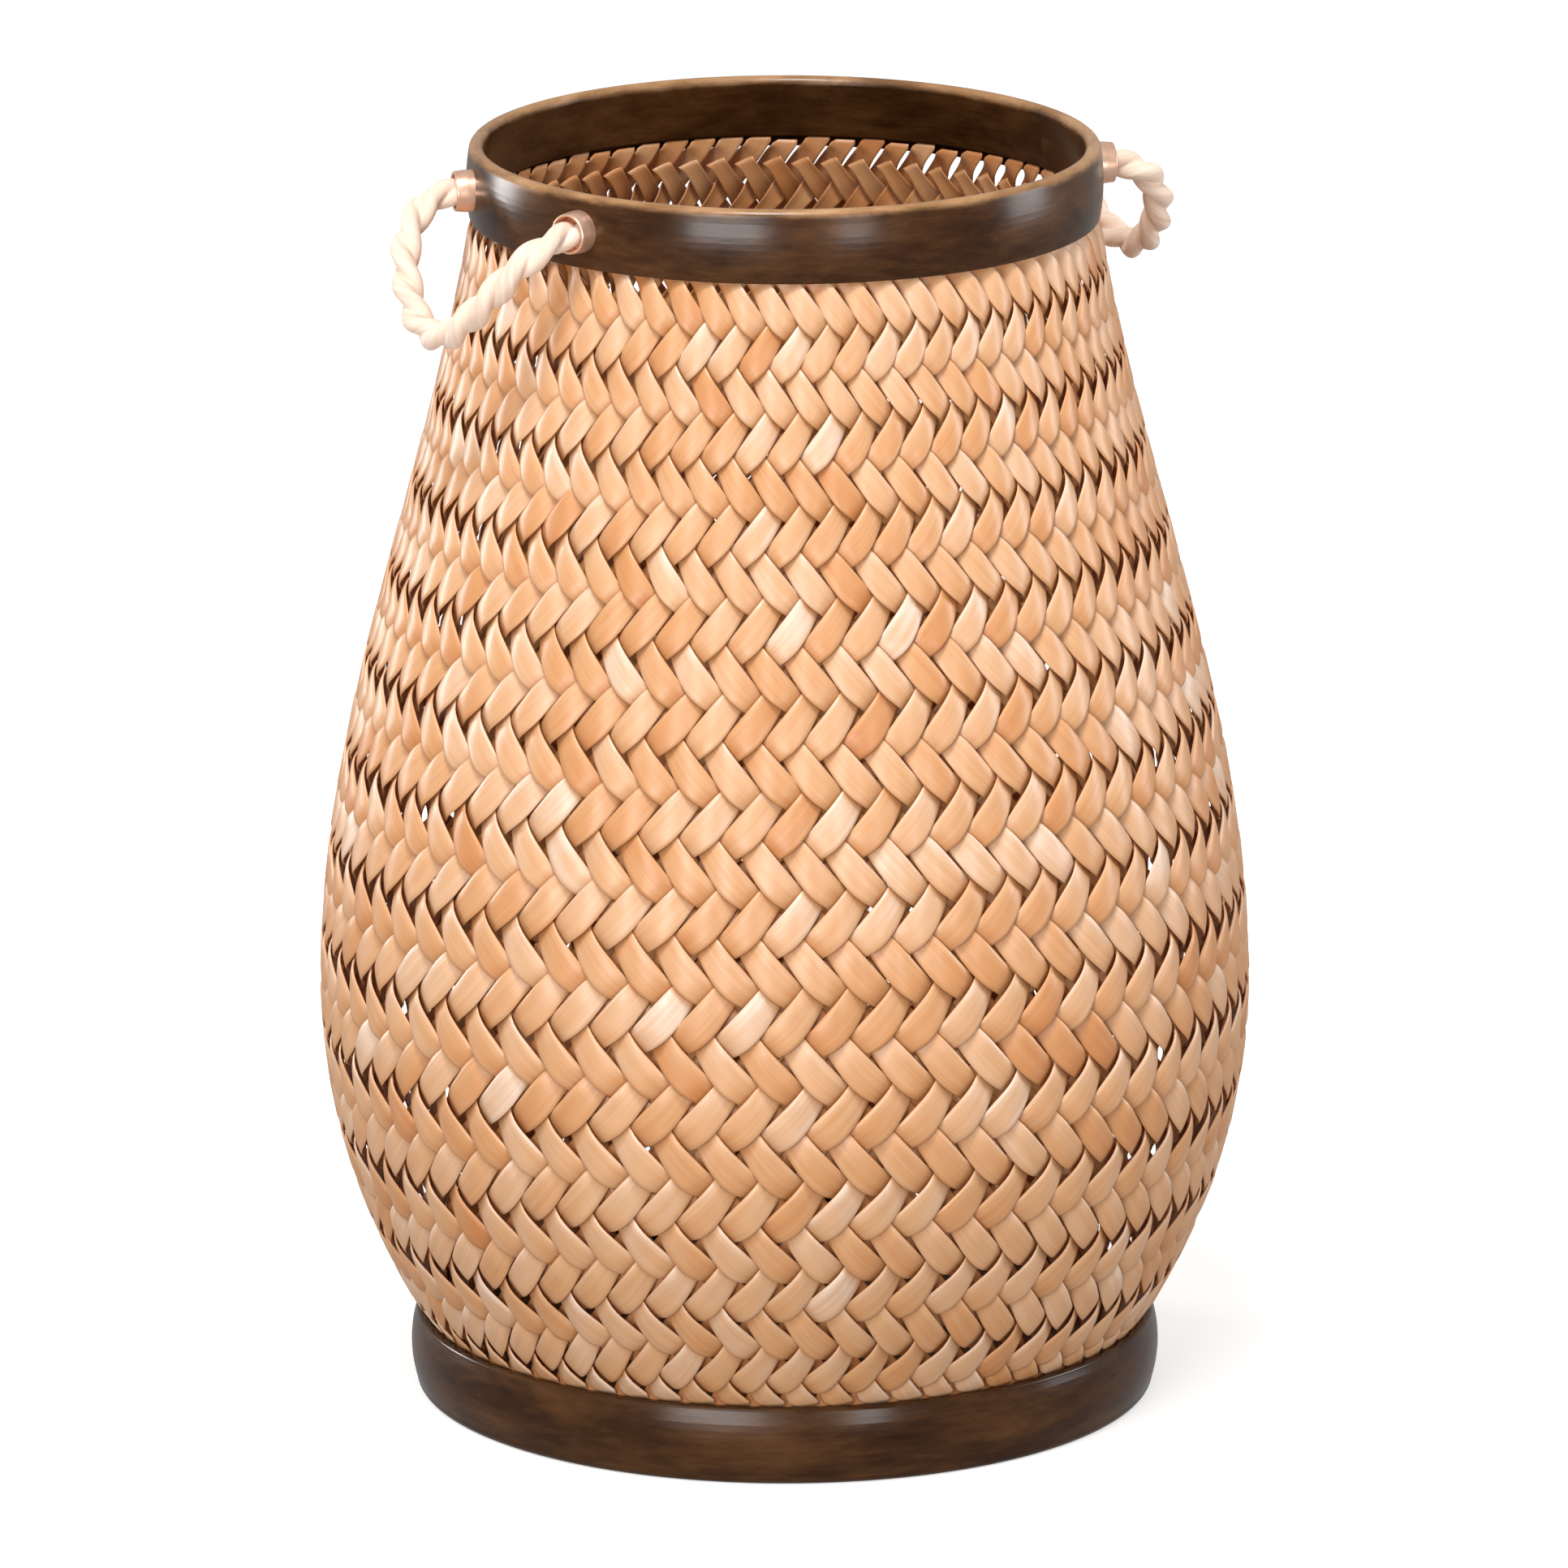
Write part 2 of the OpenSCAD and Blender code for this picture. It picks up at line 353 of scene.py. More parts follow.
def steel_material():
    """Bright wire steel of the hidden screws and brads, slightly dulled."""
    material, tree, shader = new_material("steel")
    place = object_position(tree)
    dulled = noise(tree, place, (400, 400, 400), detail=3)
    colour = ramp(tree, dulled, [(0.3, (0.36, 0.35, 0.34)), (0.7, (0.56, 0.55, 0.53))])
    tree.links.new(colour, shader.inputs["Base Color"])
    shader.inputs["Metallic"].default_value = 1.0
    tree.links.new(spread(tree, dulled, 0.28, 0.45), shader.inputs["Roughness"])
    bump(tree, shader, dulled, 0.1, 0.0002)
    return material


def rope_material():
    """Soft cotton: very fine fibres along each strand, with a little fuzz."""
    material, tree, shader = new_material("cotton_rope")
    lie = named_vector(tree, "lie")
    fibres = noise(tree, lie, (1500, 60, 1500), detail=3, roughness=0.65)
    folds = noise(tree, lie, (300, 40, 300), detail=2, roughness=0.5)
    colour = ramp(
        tree,
        weighted(tree, fibres, 0.5, folds, 0.5),
        [(0.3, (0.68, 0.46, 0.34)), (0.5, (0.81, 0.62, 0.49)), (0.7, (0.88, 0.73, 0.61))],
    )
    tree.links.new(colour, shader.inputs["Base Color"])
    tree.links.new(spread(tree, fibres, 0.85, 0.7), shader.inputs["Roughness"])
    shader.inputs["Specular IOR Level"].default_value = 0.2
    shader.inputs["Sheen Weight"].default_value = 0.3
    shader.inputs["Sheen Roughness"].default_value = 0.4
    bump(tree, shader, maths(tree, "ADD", fibres, folds), 0.5, 0.0004)
    return material


# ---- Mesh helpers ----

SPAN_STEPS = 12  # of a smooth line, between two of the points that it goes through


def smooth_mesh(name, points, faces, material):
    """An object with that mesh, smooth shaded, in the scene."""
    mesh = bpy.data.meshes.new(name)
    mesh.from_pydata(points, [], faces)
    mesh.polygons.foreach_set("use_smooth", np.ones(len(faces), bool))
    mesh.materials.append(material)
    mesh.update()
    piece = bpy.data.objects.new(name, mesh)
    bpy.context.scene.collection.objects.link(piece)
    return piece


def vertex_data(piece, name, kind, values):
    """A value for every vertex, for the material to read."""
    attribute = piece.data.attributes.new(name, kind, "POINT")
    key = "vector" if kind == "FLOAT_VECTOR" else "value"
    attribute.data.foreach_set(key, np.asarray(values, np.float32).ravel())


def tube_faces(rings, sides, first=0):
    """Faces of a closed tube of that many rings, with a cap on each end."""
    faces = [list(range(first, first + sides))]
    for i in range(rings - 1):
        for k in range(sides):
            a = first + i * sides + k
            b = first + i * sides + (k + 1) % sides
            faces.append([a, a + sides, b + sides, b])
    last = first + (rings - 1) * sides
    faces.append(list(range(last + sides - 1, last - 1, -1)))
    return faces


def unit_rows(vectors):
    """Each row at length 1."""
    return vectors / np.linalg.norm(vectors, axis=1)[:, None]


def smooth_step(value, low, high):
    """An eased rise from 0 at low to 1 at high."""
    t = np.clip((value - low) / (high - low), 0, 1)
    return t * t * (3 - 2 * t)


def resampled(points, spacing):
    """A line's points again, evenly spaced along it."""
    steps = np.linalg.norm(np.diff(points, axis=0), axis=1)
    along = np.concatenate([[0], np.cumsum(steps)])
    stops = np.linspace(0, along[-1], max(2, round(along[-1] / spacing) + 1))
    return np.stack([np.interp(stops, along, points[:, c]) for c in range(points.shape[1])], 1)


def smooth_line(points, spacing):
    """A Catmull-Rom curve through the points, evenly spaced."""
    p = np.asarray(points, float)
    p = np.vstack([2 * p[0] - p[1], p, 2 * p[-1] - p[-2]])
    t = np.linspace(0, 1, SPAN_STEPS, endpoint=False)[:, None]
    spans = []
    for a, b, c, d in zip(p, p[1:], p[2:], p[3:]):
        spans.append(
            0.5 * (2 * b + (c - a) * t + (2 * a - 5 * b + 4 * c - d) * t**2
                   + (3 * b - a - 3 * c + d) * t**3)
        )
    return resampled(np.vstack([*spans, p[-2:-1]]), spacing)


# ---- Ferrules ----

FERRULE_ANGLE = math.radians(19.5)  # from the X axis round to each ferrule
FERRULE_Z = HEIGHT - 0.0155
FERRULE_R = 0.009
FERRULE_MOUTH_R = 0.0086
FERRULE_LEN = 0.0085
FERRULE_STRAIGHT = 0.45  # of its length, before it narrows towards its mouth
FERRULE_SEAT = 0.001  # how deep it stands in the rim
FERRULE_BORE_R = 0.0075
FERRULE_LIP = 0.00045  # radius of its lip's two rounds
CUP_FLOOR = 0.0015  # thickness of its floor
CUP_FLOOR_R = RIM_R - FERRULE_SEAT + CUP_FLOOR
MOUTH_R = RIM_R - FERRULE_SEAT + FERRULE_LEN
SCREW_HEAD_R = 0.0029
FERRULE_SIDES = 96
FERRULE_STEP = 0.0003
ARC_STEPS = 5


def round_corner(centre, radius, start, finish):
    """Points on an arc, with angles in degrees."""
    angles = np.radians(np.linspace(start, finish, ARC_STEPS))
    x, y = centre
    return [(x + radius * math.cos(a), y + radius * math.sin(a)) for a in angles]


def ferrule_outline():
    """A closed outline as (radius, way out from the seat), with rounded lips."""
    lip = FERRULE_LIP
    return [
        (SCREW_HEAD_R, CUP_FLOOR),
        (SCREW_HEAD_R, 0),
        (FERRULE_R, 0),
        (FERRULE_R, FERRULE_LEN * FERRULE_STRAIGHT),
        *round_corner((FERRULE_MOUTH_R - lip, FERRULE_LEN - lip), lip, 5, 90),
        *round_corner((FERRULE_BORE_R + lip, FERRULE_LEN - lip), lip, 90, 180),
        (FERRULE_BORE_R, CUP_FLOOR + lip),
        *round_corner((FERRULE_BORE_R - lip, CUP_FLOOR + lip), lip, 0, -90),
    ]


def make_ferrule(name, x, y, material):
    """A turned copper cup on the rim. x and y are 1 or -1, for the corner it belongs to."""
    corners = ferrule_outline()
    outline = resampled(np.array(corners + corners[:1]), FERRULE_STEP)[:-1]
    angles = 2 * np.pi * np.arange(FERRULE_SIDES) / FERRULE_SIDES
    out = np.array([x * math.cos(FERRULE_ANGLE), y * math.sin(FERRULE_ANGLE), 0])
    up = np.array([0, 0, 1.0])
    round_it = np.cos(angles)[:, None] * np.cross(up, out) + np.sin(angles)[:, None] * up
    seat = (RIM_R - FERRULE_SEAT) * out + FERRULE_Z * up
    points = seat + outline[:, :1, None] * round_it + outline[:, 1:, None] * out
    rings = len(outline)
    faces = []
    for i in range(rings):
        for k in range(FERRULE_SIDES):
            a = i * FERRULE_SIDES + k
            b = i * FERRULE_SIDES + (k + 1) % FERRULE_SIDES
            below = (i + 1) % rings * FERRULE_SIDES - i * FERRULE_SIDES
            faces.append([a, b, b + below, a + below])
    ferrule = smooth_mesh(name + "_cup", points.reshape(-1, 3), faces, material)
    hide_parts(name)
    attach(ferrule, "basket")


# ---- Rope handles ----

# One half of a handle's rope, from outside its ferrule to the middle of the loop, as
# (out from the rim's face, along the rim, up from the ferrules)
HALF_ROUTE = [
    (0.0085, 0.0495, -0.0025), (0.013, 0.049, -0.005), (0.0175, 0.0475, -0.0085),
    (0.022, 0.045, -0.013), (0.026, 0.0415, -0.0186), (0.029, 0.037, -0.0244),
    (0.0315, 0.032, -0.0303), (0.0335, 0.026, -0.036), (0.035, 0.0195, -0.0415),
    (0.036, 0.013, -0.0455), (0.0365, 0.0065, -0.0478), (0.0365, 0, -0.0485),
]
STRAND_R = 0.00425
STRAND_OFFSET = 0.00245
LAY_LENGTH = 0.038  # of one full turn of the strands
LAY_START = 0.4  # which way the strands face at the first cup's floor, in radians
ROPE_STEP = 0.001
ROPE_SIDES = 32
SQUEEZE = 0.88  # how thick the rope is inside its ferrules, over its full thickness
SQUEEZE_END = 0.006  # where it starts to swell, along it from each end
FULL_START = 0.02  # and where it has its full thickness


def handle_path(side, spacing):
    """The rope's centreline from one cup floor to the other. Side is 1 for +X and -1 for -X."""
    half = [
        (CUP_FLOOR_R * math.cos(FERRULE_ANGLE), CUP_FLOOR_R * math.sin(FERRULE_ANGLE), FERRULE_Z),
        (MOUTH_R * math.cos(FERRULE_ANGLE), MOUTH_R * math.sin(FERRULE_ANGLE), FERRULE_Z),
    ]
    half += [(RIM_R + out, along, FERRULE_Z + up) for out, along, up in HALF_ROUTE]
    whole = half + [(x, -y, z) for x, y, z in half[-2::-1]]
    return smooth_line([(side * x, side * y, z) for x, y, z in whole], spacing)


def carried_frames(path):
    """Two directions square to a line at each of its points, carried along without twisting."""
    tangents = unit_rows(np.gradient(path, axis=0))
    first = np.cross(tangents[0], (0, 0, 1))
    across = [first / np.linalg.norm(first)]
    for tangent in tangents[1:]:
        carried = across[-1] - tangent * (across[-1] @ tangent)
        across.append(carried / np.linalg.norm(carried))
    across = np.array(across)
    return across, np.cross(tangents, across)


def two_strand_outline(angles):
    """Radius of the outline of two round strands pressed side by side."""
    reach = STRAND_OFFSET * np.abs(np.cos(angles))
    return reach + np.sqrt(STRAND_R**2 - (STRAND_OFFSET * np.sin(angles)) ** 2)


def make_rope(side, side_name, material):
    """One handle's rope. Side is 1 for +X and -1 for -X."""
    path = handle_path(side, ROPE_STEP)
    across, up = carried_frames(path)
    along = ROPE_STEP * np.arange(len(path))
    angles = 2 * np.pi * np.arange(ROPE_SIDES) / ROPE_SIDES
    radius = two_strand_outline(angles)
    from_end = np.minimum(along, along[::-1])
    squeeze = SQUEEZE + (1 - SQUEEZE) * smooth_step(from_end, SQUEEZE_END, FULL_START)[:, None]
    facing = LAY_START - 2 * np.pi * along[:, None] / LAY_LENGTH + angles
    points = (
        path[:, None]
        + (squeeze * radius * np.cos(facing))[..., None] * across[:, None]
        + (squeeze * radius * np.sin(facing))[..., None] * up[:, None]
    )
    faces = tube_faces(len(path), ROPE_SIDES)
    rope = smooth_mesh(f"{side_name}_rope", points.reshape(-1, 3), faces, material)
    lie = np.stack(
        [
            np.broadcast_to(radius * np.cos(angles), facing.shape),
            np.broadcast_to(along[:, None], facing.shape),
            np.broadcast_to(radius * np.sin(angles), facing.shape),
        ],
        -1,
    )
    vertex_data(rope, "lie", "FLOAT_VECTOR", lie)
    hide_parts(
        f"{side_name}_rope_handle",
        f"{side_name}_front_rope_end",
        f"{side_name}_rear_rope_end",
    )
    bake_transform(rope)


# ---- Plaited wall ----

# The wall's outline: one curve from the neck to the belly and one from there to the foot,
# each with its slope at the band and how far its ends pull it
BELLY_Z = 0.18
NECK_LEAN = math.radians(8.5)
NECK_PULL = 0.112
BELLY_PULL_UP = 0.118
BELLY_PULL_DOWN = 0.075
FOOT_LEAN = math.radians(31)
FOOT_PULL = 0.021
OUTLINE_STEPS = 80  # of each curve
# The strips' ends inside the bands
GROOVE_R = NECK_R - 0.0024
GROOVE_DEPTH = 0.01
SEAT_R = FOOT_R - 0.0025
SEAT_TOP = BASE_H - 0.002
SEAT_WAY = 0.003  # along a strip, from the foot to the seat's top
LEDGE_Z = FLOOR_LOW.z + 0.0005

# The weave's rows, along the wall from the rim
STRIPS = 66  # in each direction
STRIP_PITCH = 2 * math.pi / STRIPS
ROW_START = 0.0025
ROW_PITCH = 0.018  # height of the first row
ROW_GROWTH = 0.000165  # rows grow taller from the neck down
ROW_EASING = 0.0000029  # and grow less towards the foot
ROW_STEPS = 10
PANELS = 17
RIGHT_REACH = 0.0035  # how far a right-leaning strip reaches into the rim, at least
REACH_SPREAD = 0.0025  # and by how much more, at most
RIGHT_PAST_FOOT = 0.0005  # how far it reaches into the base
LEFT_FIRST_ROW = 0.18  # where a left-leaning strip starts, just under the rim
EASE_IN_WALL = 0.008  # how far the bands' grip reaches into the wall
EASE_IN_BAND = 0.004  # and how deep in a band a strip is fully gripped

# One strip
NECK_FILL = 0.9  # its width over its share of the wall, by the rim
STRIP_FILL = 0.86  # and lower down
FILL_ROWS = (0.3, 3.0)  # between which it narrows
STRIP_T = 0.0009
CROWN = 0.0004
CROWN_LEVEL = 0.6  # of the crown, above the strip's own level
WEAVE_DEPTH = 0.0027  # how far it rises and dips from the middle of the wall
WEAVE_ROUNDNESS = 0.75
GRIPPED_RELIEF = 0.4  # of its rise and crown, inside the bands
SAG = 0.003  # how far a float's lower edge hangs below a straight line
SAG_LEAD = 0.1  # how far up a float its sag is shifted, in crossings
UPPER_TWIST = 0.16  # how far a float's upper edge stands out at its upper end, as a slope
LOWER_TWIST = 0.08  # and its lower edge further down
TWIST_END = 0.6  # where the twist is complete; 1 is the float's lower end
ROLL = 0.0003  # how far the outer part of its upper edge rolls in
ROLL_START = 0.45  # of its half width
WIDTH_SPREAD = 0.015  # how unevenly it is cut, over its width
SHIFT_SPREAD = 0.00025  # how far it strays from its line
TILT_SPREAD = 0.03  # and how far it tilts, as a slope
END_WIDTH = 0.75  # of its width, where an end is rounded
TOP_ROUND = 0.0012
FOOT_ROUND = 0.003
LEVEL_END = 0.008  # how far from a right-leaning strip's ends it starts to be cut level
# Half of its cross-section, as (across, thickness) from -1 to 1; the underside mirrors it
UPPER_SECTION = [
    (-1, 0), (-0.96, 0.8), (-0.75, 1), (-0.4, 1), (0, 1), (0.4, 1), (0.75, 1), (0.96, 0.8),
]
SECTION = np.array(UPPER_SECTION + [(-y, -t) for y, t in UPPER_SECTION], float)

# Its tone, from 0 for the darkest straw to 1 for the palest, painted light and shade included
INNER_TONE = 0.3  # of its inner face
OUTER_PAINTED_SHADE = 0.25  # its outer face, darker as painted shade, which stays where others cross over it
SHOWN_PAINTED_LIGHT = 0.44  # how much paler it is painted where its outer face shows, as painted light
PAINTED_LIGHT_FALL = 0.1  # less at a float's lower end and more at its upper end, which faces up to the light: painted light
EDGE_PAINTED_HIGHLIGHT = 0.22  # and more along its upper edge, as a painted highlight
FLOAT_SPREAD = 0.13  # from float to float
STRIP_SPREAD = 0.06  # from strip to strip
MOST_FLOATS = 40  # more than any strip has
COVER_EASE = 0.3  # how gradually the painted shade sets in where others cross over it
EDGE_START = 0.6  # of its half width, where the painted highlight along its upper edge starts
EDGE_FULL = 0.95  # and where that painted highlight is full


def bezier(p, t):
    """Points on a curve from p[0] to p[3], pulled by p[1] and p[2]."""
    t = t[:, None]
    r = 1 - t
    return r**3 * p[0] + 3 * r**2 * t * p[1] + 3 * r * t**2 * p[2] + t**3 * p[3]


def wall_outline():
    """The wall's outer face from the neck down to the foot, as (radius, height) points."""
    neck = np.array([NECK_R, RIM_Z])
    belly = np.array([BELLY_R, BELLY_Z])
    foot = np.array([FOOT_R, BASE_H])
    neck_way = np.array([math.sin(NECK_LEAN), -math.cos(NECK_LEAN)])
    foot_way = np.array([math.sin(FOOT_LEAN), math.cos(FOOT_LEAN)])
    t = np.linspace(0, 1, OUTLINE_STEPS)
    shoulder = bezier([neck, neck + NECK_PULL * neck_way, belly + [0, BELLY_PULL_UP], belly], t)
    haunch = bezier([belly, belly - [0, BELLY_PULL_DOWN], foot + FOOT_PULL * foot_way, foot], t)
    return np.vstack([shoulder, haunch[1:]])


def wall_line():
    """The middle of the weave, from the rim's groove to the base's seat.

    Returns the distance from the neck along the outer face, the points as (radius, height),
    and their outward directions."""
    outer = wall_outline()
    way = unit_rows(np.gradient(outer, axis=0))
    outward = np.stack([-way[:, 1], way[:, 0]], 1)
    middle = outer - (WEAVE_DEPTH + CROWN_LEVEL * CROWN + STRIP_T / 2) * outward
    steps = np.linalg.norm(np.diff(outer, axis=0), axis=1)
    along = np.concatenate([[0], np.cumsum(steps)])
    groove = [GROOVE_R, RIM_Z + GROOVE_DEPTH]
    seat = np.array([[SEAT_R, SEAT_TOP], [SEAT_R, LEDGE_Z]])
    points = np.vstack([groove, middle, seat])
    outward = np.vstack([[1, 0], outward, [1, 0], [1, 0]])
    past_foot = along[-1] + [SEAT_WAY, BASE_H - LEDGE_Z]
    return np.concatenate([[-GROOVE_DEPTH], along, past_foot]), points, outward


ALONG, WALL_POINTS, WALL_OUTWARD = wall_line()
NECK_TO_FOOT = float(ALONG[-3])


def row_distance(row):
    """How far down the wall a row starts. Rows are counted from the rim, and needn't be whole."""
    return ROW_START + ROW_PITCH * row + ROW_GROWTH * row**2 - ROW_EASING * row**3


def row_height(row):
    return ROW_PITCH + 2 * ROW_GROWTH * row - 3 * ROW_EASING * row**2


def row_at(distance):
    rows = np.linspace(-1, 27, 281)  # past both ends of every strip
    return float(np.interp(distance, row_distance(rows), rows))


def wall_at(distance):
    """(radius, height) points and outward directions at those distances from the neck."""
    place = np.stack([np.interp(distance, ALONG, WALL_POINTS[:, c]) for c in (0, 1)], 1)
    outward = np.stack([np.interp(distance, ALONG, WALL_OUTWARD[:, c]) for c in (0, 1)], 1)
    return place, unit_rows(outward)


def crossing_wave(u):
    """From 1, where a strip lies over the two it crosses, to -1, where it lies under the next two."""
    return np.sin(np.pi * (u + 0.5) / 2)


def float_advance(u, lean):
    """From -1 at a float's upper end to 1 at its lower end."""
    return -lean * np.cos(np.pi * (u + 0.5) / 2)


def weave_wave(u):
    """The same as crossing_wave, but with flatter tops."""
    y = crossing_wave(u)
    return y * math.sqrt(1 + WEAVE_ROUNDNESS**2) / np.sqrt(y**2 + WEAVE_ROUNDNESS**2)


def wander(rows, rng, spread):
    """A random value that drifts slowly along a strip."""
    knots = np.arange(-2, 30)  # one a row, past both ends of every strip
    return np.interp(rows, knots, rng.normal(0, spread, len(knots)))


def rounded_end(from_end, radius):
    """How wide a strip is near a rounded end, from END_WIDTH at its end to 1."""
    t = np.clip(from_end / radius, 0, 1)
    return END_WIDTH + (1 - END_WIDTH) * np.sqrt(1 - (1 - t) ** 2)


def strip_rows(lean, rng):
    """The rows where a strip has its rings of points, from its upper end down."""
    if lean > 0:
        first_row = row_at(-RIGHT_REACH - REACH_SPREAD * rng.random())
        last_row = row_at(NECK_TO_FOOT + RIGHT_PAST_FOOT)
    else:
        first_row = LEFT_FIRST_ROW
        last_row = row_at(ALONG[-1])
    return np.linspace(first_row, last_row, round((last_row - first_row) * ROW_STEPS) + 1)


def strip_directions(turn, place, outward):
    """A strip's centreline, and the ways round, out of and down the wall along it."""
    radial = np.stack([np.cos(turn), np.sin(turn), 0 * turn], 1)
    girth = np.stack([-np.sin(turn), np.cos(turn), 0 * turn], 1)
    vertical = np.array([0, 0, 1.0])
    centre = place[:, :1] * radial + place[:, 1:] * vertical
    normal = outward[:, :1] * radial + outward[:, 1:] * vertical
    down = np.cross(girth, normal)
    down *= np.sign(-down[:, 2:])
    return centre, girth, normal, down


def strip_relief(u, lean, y, half_width, tilt, free):
    """How far every point of a strip stands out from the wall's middle, and how far it sags.

    Free is 1 in the open wall and 0 where a band grips the strip."""
    relief = GRIPPED_RELIEF + (1 - GRIPPED_RELIEF) * free
    upward = lean * y  # 1 on the strip's upper edge and -1 on its lower edge
    turned = smooth_step(float_advance(u, lean), -1, TWIST_END)
    twist = UPPER_TWIST - (UPPER_TWIST + LOWER_TWIST) * turned
    roll = ROLL * free * np.clip((upward - ROLL_START) / (1 - ROLL_START), 0, 1) ** 2
    rise = (
        lean * WEAVE_DEPTH * relief * weave_wave(u)
        + CROWN * relief * (CROWN_LEVEL - y**2)
        + (tilt + free * twist) * upward * half_width
        - roll
        + SECTION[None, :, 1] * STRIP_T / 2
    )
    hang = SAG * (1 - upward) / 2
    sag = free * hang * lean * crossing_wave(u + SAG_LEAD)
    return rise, sag


def strip_tones(u, lean, y, rng):
    """The tone of every point of a strip: painted light where its outer face shows, a painted
    highlight along its upper edge, and painted shade where others cross over it.
    """
    float_index = np.floor((u + 0.5) / 2).astype(int) + 2
    own = rng.normal(0, FLOAT_SPREAD, MOST_FLOATS)[float_index] + rng.normal(0, STRIP_SPREAD)
    outside = smooth_step(SECTION[:, 1], -0.5, 0.5)  # 1 on its outer face and 0 on its inner face
    shown = outside * smooth_step(lean * crossing_wave(u), -COVER_EASE, COVER_EASE)
    upper_edge = smooth_step(lean * y, EDGE_START, EDGE_FULL)
    # Painted light: paler where the outer face shows, more at a float's upper end, with a painted
    # highlight along its upper edge
    painted_light = SHOWN_PAINTED_LIGHT - PAINTED_LIGHT_FALL * float_advance(u, lean) + EDGE_PAINTED_HIGHLIGHT * upper_edge
    # The outer face keeps its painted shade where others cross over it
    return own + INNER_TONE - OUTER_PAINTED_SHADE * outside + painted_light * shown


def strip_rings(index, lean, rng):
    """One strip's rings of points, and each point's (across, along, strip) place and tone.

    Lean is 1 for a strip that goes right as it goes down, seen from outside, and -1 for the
    others. Strips that lean right reach up into the rim's groove and stop at the base; the
    others stop inside the first row and reach down into the base's seat."""
    rows = strip_rows(lean, rng)
    distance = row_distance(rows)
    place, outward = wall_at(distance)
    turn = STRIP_PITCH * (index + lean * rows + (0 if lean > 0 else 0.5))
    centre, girth, normal, down = strip_directions(turn, place, outward)
    step = place[:, 0] * STRIP_PITCH  # along the wall's girth, in one row
    drop = row_height(rows)
    slant = np.hypot(step, drop)  # along the strip, in one row
    share = step * drop / slant  # the width that a strip would have with no gaps
    side = (drop[:, None] * girth - lean * step[:, None] * down) / slant[:, None]
    fill = NECK_FILL + (STRIP_FILL - NECK_FILL) * smooth_step(rows, *FILL_ROWS)
    half_width = fill / 2 * share * (1 + wander(rows, rng, WIDTH_SPREAD))
    if lean > 0:
        from_top = distance - distance[0]
        from_foot = distance[-1] - distance
        half_width = half_width * rounded_end(from_top, TOP_ROUND)
        half_width = half_width * rounded_end(from_foot, FOOT_ROUND)
        level = 1 - smooth_step(np.minimum(from_top, from_foot), 0, LEVEL_END)[:, None]
        side = (1 - level) * side + level * girth * (slant / drop)[:, None]
    # The gap is all below the strip, so that its upper edge stays in its place
    shift = lean * (1 - fill) / 2 * share + wander(rows, rng, SHIFT_SPREAD)
    tilt = wander(rows, rng, TILT_SPREAD)
    below_rim = smooth_step(distance, -EASE_IN_BAND, EASE_IN_WALL)
    above_base = 1 - smooth_step(distance - NECK_TO_FOOT, -EASE_IN_WALL, EASE_IN_BAND)
    free = below_rim * above_base

    y = SECTION[None, :, 0]
    across = y * half_width[:, None] + shift[:, None]
    # Place along the strip, counted in crossings; its two edges meet them at different places
    edge_lead = (drop / step - step / drop) / slant
    u = 2 * rows[:, None] - 0.5 + lean * across * edge_lead[:, None]
    rise, sag = strip_relief(u, lean, y, half_width[:, None], tilt[:, None], free[:, None])
    points = (
        centre[:, None]
        + across[..., None] * side[:, None]
        + rise[..., None] * normal[:, None]
        + sag[..., None] * down[:, None]
    )
    along = np.broadcast_to(distance[:, None], across.shape)
    own_number = np.full(across.shape, index + 100.0 * lean)
    return points, np.stack([across, along, own_number], -1), strip_tones(u, lean, y, rng)


def make_panel(number, material):
    """The strips of both directions that start side by side at the rim."""
    rng = np.random.default_rng(number)
    points, grain, tones, faces = [], [], [], []
    count = 0
    first = number * STRIPS // PANELS
    last = (number + 1) * STRIPS // PANELS
    for lean in (1, -1):
        for index in range(first, last):
            strip_points, strip_grain, strip_tone = strip_rings(index, lean, rng)
            faces += tube_faces(len(strip_points), len(SECTION), count)
            points.append(strip_points.reshape(-1, 3))
            grain.append(strip_grain.reshape(-1, 3))
            tones.append(strip_tone.ravel())
            count += strip_tone.size
    panel = smooth_mesh(f"plaited_strips_{number + 1:02d}", np.vstack(points), faces, material)
    vertex_data(panel, "grain", "FLOAT_VECTOR", np.vstack(grain))
    # The tone attribute carries painted light and shade as well as each float's own tone
    vertex_data(panel, "tone", "FLOAT", np.concatenate(tones))
    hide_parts("woven_wall")
    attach(panel, "basket")


# ---- CAD nodes' materials ----


def dress(names, material):
    """Gives CAD nodes their material."""
    for name in names:
        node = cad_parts[name]
        node.data.materials.clear()
        node.data.materials.append(material)


# ---- Floor and light ----

# Each softbox's name, turn from the camera in degrees, distance and height in metres,
# width and height of its face in metres, and power in watts
SOFTBOXES = [
    ("key_light", -20, 2.4, 0.45, 1.1, 0.42, 26),
    ("small_light", 24, 2.4, 0.45, 0.45, 0.35, 9),
    ("right_light", 95, 2.2, 0.7, 0.7, 1.0, 20),
    ("left_light", -118, 2.2, 0.5, 0.5, 0.6, 18),
    ("top_light", -10, 0.9, 2.2, 0.55, 0.4, 28),
]
SKY_TURN = math.radians(-25)  # from the camera
SKY_DISTANCE = 1.7
SKY_HEIGHT = 1.95
SKY_ANGLE = math.radians(35)  # how wide the sky light is, for soft shadows
SKY_STRENGTH = 0.9
WORLD_STRENGTH = 0.4
FLOOR_GLOW = 0.5
FLOOR_SIZE = 60


